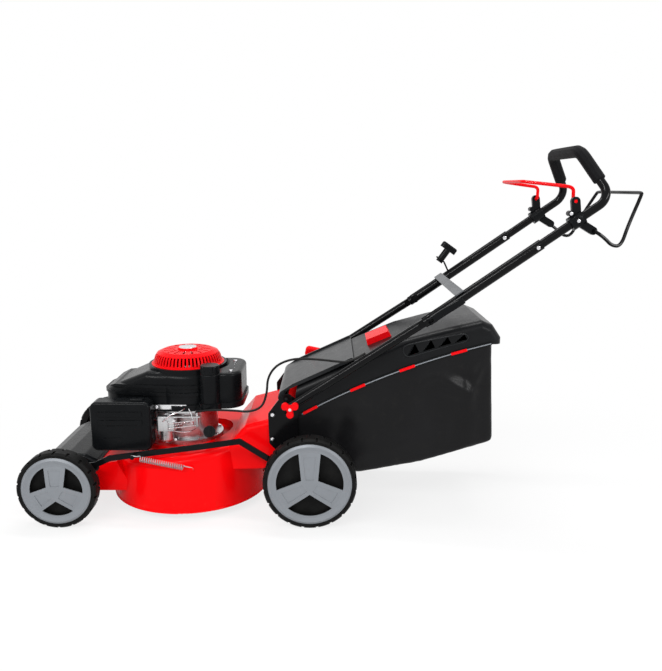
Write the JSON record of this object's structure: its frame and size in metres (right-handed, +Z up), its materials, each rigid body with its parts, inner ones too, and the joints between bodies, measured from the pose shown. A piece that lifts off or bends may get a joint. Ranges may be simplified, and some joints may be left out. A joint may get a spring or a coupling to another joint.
{
  "type": "lawn mower",
  "caption": "Petrol walk-behind lawn mower with a pressed deck, upright-shaft engine, belt-driven rear wheels, height lever, folding handle with two bails and a rear grass bag.",
  "frame": {"origin": "on the ground, under the middle of the overall box", "axes": "+X to the rear (towards the user), +Y to the machine's right, +Z up"},
  "size_m": [1.576, 0.528, 0.9632],
  "materials": {
    "deck_red": "gloss",
    "red_plastic": "gloss",
    "black_plastic": "satin",
    "black_paint": "satin",
    "dark_grey_plastic": "matte",
    "cap_grey": "satin",
    "tyre": "matte",
    "engine_alloy": "cast",
    "steel": "satin",
    "spring_steel": "bright",
    "bag_fabric": "woven",
    "foam": "matte",
    "belt": "matte",
    "cable": "satin",
    "filter": "paper",
    "brace_grey": "satin"
  },
  "bodies": {
    "chassis": {"deck_shell": "deck_red", "front_apron": "black_plastic", "handle_bracket_left": "black_paint", "handle_bracket_right": "black_paint", "engine_block": "engine_alloy", "blower_housing": "black_plastic", "recoil_cover": "red_plastic", "fuel_tank": "black_plastic", "air_cleaner_base": "black_plastic", "air_filter": "filter", "carburettor": "engine_alloy", "muffler": "steel", "spark_plug": "black_plastic", "oil_filler": "steel", "gearbox": "engine_alloy", "drive_belt": "belt", "lower_tube_left": "black_paint", "lower_tube_right": "black_paint", "control_cable": "cable", "height_spring": "spring_steel"},
    "crank": {"crankshaft": "steel", "flywheel": "engine_alloy", "blade_adapter": "steel", "blade": "steel"},
    "gearbox_input": {"gearbox_pulley": "steel"},
    "fuel_cap": {"fuel_cap": "black_plastic"},
    "dipstick": {"dipstick": "black_plastic"},
    "air_cleaner_cover": {"air_cleaner_cover": "black_plastic"},
    "rear_axle": {"rear_axle": "steel", "height_knob": "red_plastic"},
    "front_axle": {"front_axle": "steel"},
    "link": {"height_link_bar": "black_paint"},
    "drive_shaft": {"drive_shaft": "steel"},
    "upper_handle": {"mid_tube_left": "black_paint", "mid_tube_right": "black_paint", "cross_brace": "brace_grey", "top_loop": "black_paint", "foam_grip": "foam", "clamp_left": "black_plastic", "clamp_right": "black_plastic", "rope_guide": "black_paint"},
    "brake_bail": {"brake_bail": "red_plastic"},
    "drive_bail": {"drive_bail": "black_paint"},
    "starter_grip": {"starter_grip": "black_plastic"},
    "bag": {"bag_lid": "dark_grey_plastic", "bag_fabric": "bag_fabric", "bag_trim": "red_plastic"},
    "flap": {"rear_flap": "dark_grey_plastic"},
    "front_wheel_left": {"front_wheel_left": "tyre", "front_hub_cap_left": "cap_grey"},
    "front_wheel_right": {"front_wheel_right": "tyre", "front_hub_cap_right": "cap_grey"},
    "rear_wheel_left": {"rear_wheel_left": "tyre", "rear_hub_cap_left": "cap_grey"},
    "rear_wheel_right": {"rear_wheel_right": "tyre", "rear_hub_cap_right": "cap_grey"},
    "cam_lever_left": {"cam_lever_left": "black_plastic"},
    "wing_knob_left": {"wing_knob_left": "red_plastic"},
    "cam_lever_right": {"cam_lever_right": "black_plastic"},
    "wing_knob_right": {"wing_knob_right": "red_plastic"}
  },
  "joints": [
    {"name": "crank_spin", "type": "hinge", "parent": "chassis", "child": "crank", "pos_m": [-0.388, 0, 0], "axis": [0, 0, 1], "continuous": true},
    {"name": "gearbox_input_spin", "type": "hinge", "parent": "chassis", "child": "gearbox_input", "pos_m": [-0.14688, 0, 0], "axis": [0, 0, 1], "continuous": true},
    {"name": "height_adjust", "type": "hinge", "parent": "chassis", "child": "rear_axle", "pos_m": [-0.09488, 0, 0.09464], "axis": [0, 1, 0], "range_deg": [0, 50]},
    {"name": "front_axle_swing", "type": "hinge", "parent": "chassis", "child": "front_axle", "pos_m": [-0.74088, 0, 0.07614], "axis": [0, 1, 0], "range_deg": [0, 50]},
    {"name": "link_travel", "type": "slide", "parent": "chassis", "child": "link", "axis": [1, 0, 0], "range_m": [0, 0.04654], "deforming": ["height_spring"]},
    {"name": "front_wheel_left_spin", "type": "hinge", "parent": "front_axle", "child": "front_wheel_left", "pos_m": [-0.6865, -0.236, 0.1015], "axis": [0, 1, 0], "continuous": true},
    {"name": "front_wheel_right_spin", "type": "hinge", "parent": "front_axle", "child": "front_wheel_right", "pos_m": [-0.6865, 0.236, 0.1015], "axis": [0, 1, 0], "continuous": true},
    {"name": "rear_wheel_left_spin", "type": "hinge", "parent": "rear_axle", "child": "rear_wheel_left", "pos_m": [-0.0405, -0.236, 0.12], "axis": [0, 1, 0], "continuous": true},
    {"name": "rear_wheel_right_spin", "type": "hinge", "parent": "rear_axle", "child": "rear_wheel_right", "pos_m": [-0.0405, 0.236, 0.12], "axis": [0, 1, 0], "continuous": true},
    {"name": "drive_shaft_spin", "type": "hinge", "parent": "rear_axle", "child": "drive_shaft", "pos_m": [-0.09488, 0, 0.09464], "axis": [0, 1, 0], "continuous": true},
    {"name": "upper_handle_fold", "type": "hinge", "parent": "chassis", "child": "upper_handle", "pos_m": [0.26405, 0, 0.53211], "axis": [0, 1, 0], "range_deg": [-120, 0]},
    {"name": "cam_lever_left_swing", "type": "hinge", "parent": "upper_handle", "child": "cam_lever_left", "pos_m": [0.26405, -0.1968, 0.53211], "axis": [0.5707, 0, -0.8211], "range_deg": [0, 95]},
    {"name": "wing_knob_left_turn", "type": "hinge", "parent": "chassis", "child": "wing_knob_left", "pos_m": [-0.092, -0.175, 0.3], "axis": [0, 1, 0], "continuous": true},
    {"name": "cam_lever_right_swing", "type": "hinge", "parent": "upper_handle", "child": "cam_lever_right", "pos_m": [0.26405, 0.1968, 0.53211], "axis": [-0.5707, 0, 0.8211], "range_deg": [0, 95]},
    {"name": "wing_knob_right_turn", "type": "hinge", "parent": "chassis", "child": "wing_knob_right", "pos_m": [-0.092, 0.175, 0.3], "axis": [0, 1, 0], "continuous": true},
    {"name": "brake_bail_squeeze", "type": "hinge", "parent": "upper_handle", "child": "brake_bail", "pos_m": [0.61206, 0, 0.82513], "axis": [0, 1, 0], "range_deg": [0, 62], "stiffness_Nm_per_rad": 0.6, "springref_deg": -17.19},
    {"name": "drive_bail_squeeze", "type": "hinge", "parent": "upper_handle", "child": "drive_bail", "pos_m": [0.6595, 0, 0.75337], "axis": [0, 1, 0], "range_deg": [-36, 0], "stiffness_Nm_per_rad": 0.6, "springref_deg": 17.19},
    {"name": "starter_pull", "type": "slide", "parent": "upper_handle", "child": "starter_grip", "axis": [0.5764, 0, 0.8171], "range_m": [0, 0.3], "stiffness_N_per_m": 30, "springref_m": -0.2},
    {"name": "fuel_cap_turn", "type": "hinge", "parent": "chassis", "child": "fuel_cap", "pos_m": [-0.309, -0.11, 0.374], "axis": [0, 0, 1], "range_deg": [0, 180]},
    {"name": "dipstick_pull", "type": "slide", "parent": "chassis", "child": "dipstick", "axis": [0.1302, -0.9113, 0.3906], "range_m": [0, 0.045]},
    {"name": "air_cleaner_cover_off", "type": "slide", "parent": "chassis", "child": "air_cleaner_cover", "axis": [0, -1, 0], "range_m": [0, 0.03]},
    {"name": "bag_off", "type": "slide", "parent": "chassis", "child": "bag", "axis": [1, 0, 0], "range_m": [0, 0.3]},
    {"name": "flap_lift", "type": "hinge", "parent": "chassis", "child": "flap", "pos_m": [-0.104, 0, 0.316], "axis": [0, -1, 0], "range_deg": [0, 45]}
  ],
  "couplings": [
    {"joint": "gearbox_input_spin", "follows": "crank_spin", "ratio": 1.4},
    {"joint": "front_axle_swing", "follows": "height_adjust", "ratio": 1},
    {"joint": "link_travel", "follows": "height_adjust", "m_per_rad": 0.053271},
    {"joint": "rear_wheel_right_spin", "follows": "rear_wheel_left_spin", "ratio": 1},
    {"joint": "drive_shaft_spin", "follows": "rear_wheel_left_spin", "ratio": 5}
  ]
}
